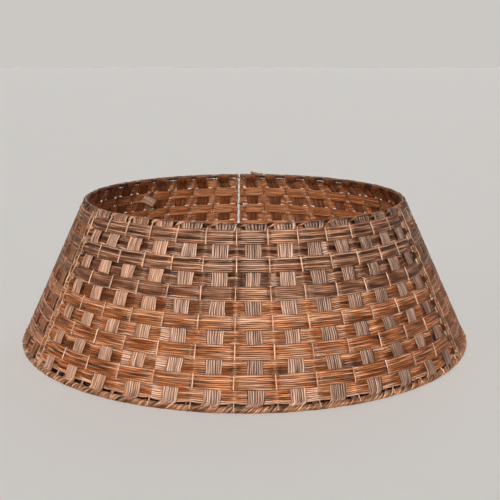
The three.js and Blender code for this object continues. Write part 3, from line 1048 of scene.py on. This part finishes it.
# Tie at the back seam: a strap round the right panel's side wire, and a square head inside

TIE_WIDTH = 0.0022
TIE_THICKNESS = 0.0012
TIE_RING = SIDE_WIRE / 2 + 0.0005 + TIE_THICKNESS / 2
TIE_REACH = 0.0063
HEAD_ACROSS = 0.006
HEAD_IN = 0.003
HEAD_SIDE = 0.0048
HEAD_DEPTH = 0.0036
HEAD_RIM = 0.0012
HEAD_DISH = 0.0006
HEAD_ROUND = 0.0003


def build_back_tie():
    turn = PANELS["right"]
    points, across, up, outward = wall(BANDS, row_edge(TIE_ROWS[0]), 0.0)
    share = np.linspace(0, 1, 32)
    ring = math.tau * (0.1 + 1.02 * share)
    arm_in = HEAD_IN + TIE_THICKNESS / 2
    ways = {
        "ring": (TIE_RING * np.cos(ring), TIE_RING * np.sin(ring)),
        "tongue": (TIE_RING + (TIE_REACH - TIE_RING) * share, 0.0005 * np.sin(math.pi * share)),
        "neck": (-HEAD_ACROSS * share ** 2, -TIE_RING - (arm_in - TIE_RING) * ease(2 * share)),
    }
    routes = []
    for sideways, off in ways.values():
        path = points + across * sideways[:, None] + outward * off[:, None]
        routes.append(route(path, up, TIE_WIDTH, TIE_THICKNESS))
    strap = lay_strands("back_tie_strap", routes, STRAP, turn, sides=8)
    fit(strap, "right", "tie_strap", "back_tie")

    shape = bmesh.new()
    bmesh.ops.create_cube(shape, size=1)
    bmesh.ops.scale(shape, verts=shape.verts, vec=(HEAD_SIDE, HEAD_DEPTH, HEAD_SIDE))
    ends = [face for face in shape.faces if abs(face.normal.y) > 0.9]
    bmesh.ops.inset_individual(shape, faces=ends, thickness=HEAD_RIM, depth=-HEAD_DISH)
    bmesh.ops.bevel(shape, geom=shape.edges[:], offset=HEAD_ROUND, affect="EDGES", segments=2,
                    profile=0.5, material=-1)
    bmesh.ops.recalc_face_normals(shape, faces=shape.faces)
    middle = points - across * HEAD_ACROSS - outward * (HEAD_IN + HEAD_DEPTH / 2)
    basis = Matrix((across, -outward, up)).transposed().to_4x4()
    shape.transform(Matrix.Rotation(turn, 4, "Z") @ Matrix.Translation(Vector(middle)) @ basis
                    @ Matrix.Rotation(math.pi / 4, 4, "Y"))
    mesh = bpy.data.meshes.new("back_tie_head")
    shape.to_mesh(mesh)
    shape.free()
    mesh.materials.append(PALE_HEAD)
    fit(add_object("back_tie_head", mesh), "right", "tie_strap", "back_tie")


# Loose ends: a flap inside the left panel and a lifted end on the back rim

LOOSE_SEED = 7
FLAP_PLACE, FLAP_LEVEL, FLAP_TILT = 4.22, 0.1955, math.radians(24)
FLAP_LENGTHS = (0.0245, 0.0265)
FLAP_PITCH = 0.0025
END_PLACE, END_PLACES = 12.0, 0.55
END_STEP = 0.0013


def build_loose_ends():
    chance = np.random.default_rng(LOOSE_SEED)
    share = np.linspace(0, 1, 12)
    points, across, up, outward = wall(FLAP_PLACE, FLAP_LEVEL, 0.0)
    run = -across * math.cos(FLAP_TILT) - up * math.sin(FLAP_TILT)
    beside = -across * math.sin(FLAP_TILT) + up * math.cos(FLAP_TILT)
    routes = []
    for rib in range(6):
        length = (share - 0.5) * chance.uniform(*FLAP_LENGTHS)
        stand_off = 0.0032 + 0.0058 * share ** 1.6
        middle = (
            points + run * length[:, None] + beside * ((rib - 2.5) * FLAP_PITCH)
            - outward * stand_off[:, None]
        )
        routes.append(route(middle, beside, 0.0027, 0.0009, mottled(chance, 0.72, 0.12)))
    fit(lay_strands("left_loose_flap", routes, LOOSE, PANELS["left"]), "left", "band_strand")

    routes = []
    for rib in range(4):
        rise = 0.0034 + 0.0007 * (rib % 2) + 0.0042 * share ** 2
        out = RIM_OUT + END_STEP * (rib - 1.5)
        points, across, up, outward = wall(END_PLACE + END_PLACES * share, SLANT + rise, out)
        wide = outward + 0.6 * up
        routes.append(route(points, wide, 0.0021, 0.0012, mottled(chance, 0.3, 0.15)))
    fit(lay_strands("right_lifted_end", routes, BORDER, PANELS["right"]), "right", "band_strand")


for side, turn in PANELS.items():
    build_panel(side, turn)
build_seam_loops()
build_back_tie()
build_loose_ends()
for straight, *rest in STRAIGHT.values():
    bpy.data.meshes.remove(straight)


# Camera, floor and light

# The camera's way from the ring's middle, its height, its turn round the ring and its tilt
CAMERA_AWAY, CAMERA_HEIGHT = 1.3568, 0.4294
CAMERA_TURN, CAMERA_PITCH = math.radians(-2.294), 0.2165


def build_camera():
    camera = add_object("camera", bpy.data.cameras.new("camera"))
    camera.data.sensor_width = 36
    camera.data.lens = 62.87
    camera.data.shift_x = 0.011
    camera.location = (
        CAMERA_AWAY * math.sin(CAMERA_TURN), -CAMERA_AWAY * math.cos(CAMERA_TURN), CAMERA_HEIGHT
    )
    camera.rotation_euler = (math.pi / 2 - CAMERA_PITCH, 0, CAMERA_TURN)
    bpy.context.scene.camera = camera


def build_stage():
    shape = bmesh.new()
    bmesh.ops.create_grid(shape, x_segments=1, y_segments=1, size=40)
    mesh = bpy.data.meshes.new("floor")
    shape.to_mesh(mesh)
    shape.free()
    colour = srgb(243, 240, 236)
    material, _, shader = new_material("pale floor", colour)
    shader.inputs["Base Color"].default_value = colour
    shader.inputs["Roughness"].default_value = 0.85
    mesh.materials.append(material)
    add_object("floor", mesh)


def add_lamp(name, kind, place, aim, energy, **settings):
    lamp = bpy.data.lights.new(name, kind)
    lamp.energy = energy
    for key, value in settings.items():
        setattr(lamp, key, value)
    holder = add_object(name, lamp)
    holder.location = place
    holder.rotation_euler = (Vector(aim) - Vector(place)).to_track_quat("-Z", "Y").to_euler()
    return holder


def build_light():
    world = bpy.data.worlds.new("studio")
    bpy.context.scene.world = world
    world.use_nodes = True
    tree = world.node_tree
    ambient = tree.nodes["Background"]
    ambient.inputs["Color"].default_value = (1, 0.98, 0.96, 1)
    ambient.inputs["Strength"].default_value = 0.18
    backdrop = add_node(
        tree, "ShaderNodeBackground", {"Color": srgb(203, 200, 196), "Strength": 1.0}
    )
    rays = add_node(tree, "ShaderNodeLightPath").outputs
    seen = math_node(tree, "ADD", rays["Is Camera Ray"], rays["Is Glossy Ray"])
    seen = math_node(tree, "ADD", seen, rays["Is Transmission Ray"])
    mix = add_node(tree, "ShaderNodeMixShader", {
        0: math_node(tree, "MINIMUM", seen, 1.0),
        1: ambient.outputs[0], 2: backdrop.outputs[0],
    })
    tree.links.new(mix.outputs[0], tree.nodes["World Output"].inputs["Surface"])
    add_lamp("key", "SUN", (-0.4, -2, 1.45), (0, 0, 0), 1.85, angle=math.radians(10))
    add_lamp("fill", "AREA", (-1.9, -1.7, 1.5), (0, 0, 0.1), 2.5, size=1.2)
    behind = add_lamp("behind", "SUN", (0.7, 2.1, 1.6), (0, 0, 0), 0.4, angle=math.radians(60))
    behind.visible_glossy = False
    sheen = add_lamp("sheen", "SUN", (0.15, -2, 1.3), (0, 0, 0), 12.0, angle=math.radians(12))
    sheen.visible_diffuse = False
    bpy.context.scene.view_settings.view_transform = "Standard"


build_camera()
build_stage()
build_light()
